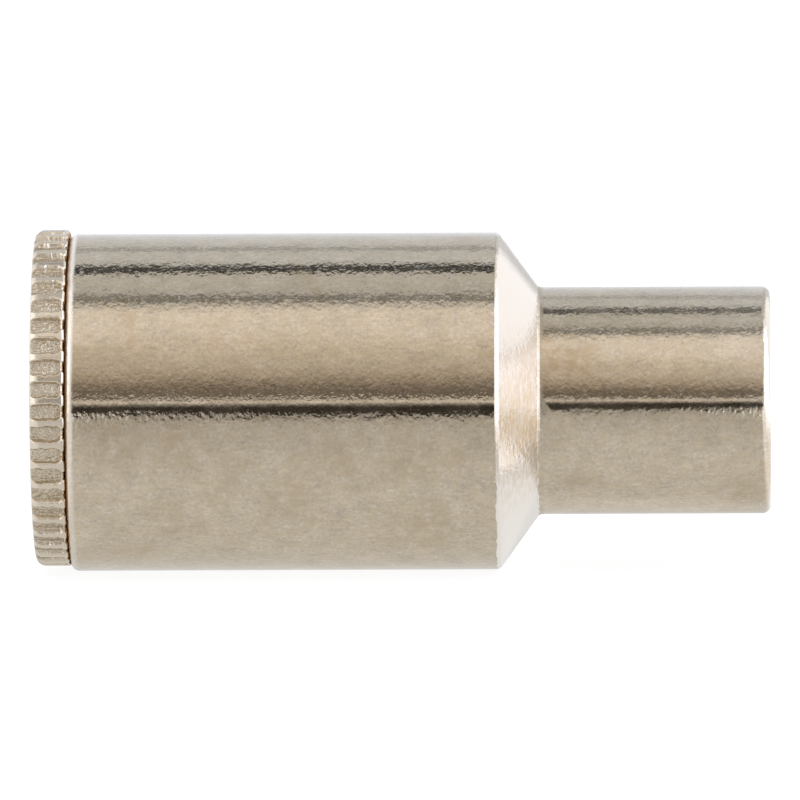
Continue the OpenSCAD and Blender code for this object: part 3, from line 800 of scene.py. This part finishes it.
# Table top, pale and plain; lengths in metres
floorSet = {
    "front": -0.26, "back": 0.6, "side": 0.12, "white": 0.92, "shade": 0.14, "paper": 0.9, "middle": -0.0058,
    "fade": ((-0.155, 0.05), (-0.098, 0.42), (-0.058, 0.58), (-0.020, 0.68), (-0.009, 0.78), (0.0, 0.75)),
    "right": (1.20, 1.22, 1.29, 1), "left": (0.92, 0.93, 0.96, 1), "endFrom": 0.0155, "endTo": 0.0195,
    "far": (1.50, 1.60, 1.85, 1), "farFrom": 0.018, "farTo": 0.060,
    "glow": 1.10, "glowAt": (0.004, 0.0009, 0.0), "glowSize": 0.0075,  # light from the cone under the sleeve
    "glowInner": 0.6, "glowNarrow": (1, 3, 0),
}


# Table: the camera sees it white with the object's shadow, metal sees it fade towards its front edge, with
# darker levels warmer, and grow brighter to the sides
def makeFloor(s, level):
    mesh = bpy.data.meshes.new("table")
    x, y0, y1 = s["side"], s["front"], s["back"]
    mesh.from_pydata([(-x, y0, level), (x, y0, level), (x, y1, level), (-x, y1, level)], [], [(0, 1, 2, 3)])
    table = bpy.data.objects.new("table", mesh)
    bpy.context.scene.collection.objects.link(table)
    material, tree, place = startMaterial("tableTop")
    along, toRear = addNode(tree, "ShaderNodeSeparateXYZ", Vector=place).outputs[:2]
    firstY, lastY = s["fade"][0][0], s["fade"][-1][0]
    fade = addNode(tree, "ShaderNodeValToRGB", Fac=spanNode(tree, toRear, firstY, lastY, kind="LINEAR"))
    while len(fade.color_ramp.elements) < len(s["fade"]):
        fade.color_ramp.elements.new(0.5)
    for stop, (y, value) in zip(fade.color_ramp.elements, s["fade"]):
        stop.position = (y - firstY) / (lastY - firstY)
        stop.color = (value, value * (0.93 + 0.09 * value), value * (0.86 + 0.18 * value), 1)
    toRight = spanNode(tree, along, s["middle"] + s["endFrom"], s["middle"] + s["endTo"])
    toLeft = spanNode(tree, along, s["middle"] - s["endFrom"], s["middle"] - s["endTo"])
    toFar = spanNode(tree, along, s["farFrom"], s["farTo"])
    light = mixColour(tree, toRight, fade.outputs["Color"], mixColour(tree, toFar, s["right"], s["far"]))
    light = mixColour(tree, toLeft, light, s["left"])
    away = vectorNode(tree, "DISTANCE", vectorNode(tree, "MULTIPLY", place, s["glowNarrow"]), s["glowAt"])
    lift = spanNode(tree, away, s["glowSize"], s["glowSize"] * s["glowInner"], 1.0, s["glow"])
    path = addNode(tree, "ShaderNodeLightPath").outputs
    paper = addNode(tree, "ShaderNodeBsdfDiffuse", Color=[s["paper"]] * 3 + [1]).outputs[0]
    shown = addNode(tree, "ShaderNodeEmission", Color=(1, 1, 1, 1), Strength=s["white"]).outputs[0]
    dim = addNode(tree, "ShaderNodeBsdfDiffuse", Color=[s["shade"]] * 3 + [1]).outputs[0]
    seen = addNode(tree, "ShaderNodeAddShader", i0=shown, i1=dim).outputs[0]
    mirrored = addNode(tree, "ShaderNodeEmission", Color=light, Strength=lift).outputs[0]
    plain = addNode(tree, "ShaderNodeMixShader", i0=path["Is Camera Ray"], i1=paper, i2=seen).outputs[0]
    bounce = mathNode(tree, "MAXIMUM", path["Is Glossy Ray"], path["Is Transmission Ray"])
    closeMaterial(tree, addNode(tree, "ShaderNodeMixShader", i0=bounce, i1=plain, i2=mirrored))
    mesh.materials.append(material)


makeTent(tentSet)
makeFloor(floorSet, cadBox[0].z)
lampSet = {"size": 0.5, "power": 4.0, "place": (-0.25, -0.25, 0.95)}
lamp = bpy.data.lights.new("softTop", "AREA")
lamp.size, lamp.energy = lampSet["size"], lampSet["power"]
lampObject = bpy.data.objects.new("softTop", lamp)
lampObject.location = lampSet["place"]
lampObject.rotation_mode = "QUATERNION"
lampObject.rotation_quaternion = (-Vector(lampSet["place"])).to_track_quat("-Z", "Y")
lampObject.visible_camera = False
lampObject.visible_glossy = False  # it only fills the plain surfaces and the shadow
bpy.context.scene.collection.objects.link(lampObject)
print("studio made")

cameraSet = {
    "azimuth": 1.2, "elevation": 6.0, "roll": 0.357, "distance": 0.6, "span": 33.47, "aim": (-5.9, 0.0, 0.05),
    "clip": (0.05, 5.0),
}


# Camera on a sphere about its aim; the lens is the sensor's width times the distance over the span it shows
def makeCamera(s):
    data = bpy.data.cameras.new("camera")
    data.lens = data.sensor_width * s["distance"] / (s["span"] * mm)
    data.clip_start, data.clip_end = s["clip"]
    camera = bpy.data.objects.new("camera", data)
    a, e = math.radians(s["azimuth"]), math.radians(s["elevation"])
    back = Vector((math.sin(a) * math.cos(e), -math.cos(a) * math.cos(e), math.sin(e)))
    camera.location = Vector(s["aim"]) * mm + back * s["distance"]
    camera.rotation_mode = "QUATERNION"
    turn = Quaternion((0, 0, 1), math.radians(-s["roll"]))
    camera.rotation_quaternion = (-back).to_track_quat("-Z", "Y") @ turn
    bpy.context.scene.collection.objects.link(camera)
    bpy.context.scene.camera = camera


makeCamera(cameraSet)
bpy.context.scene.view_settings.view_transform = "Standard"
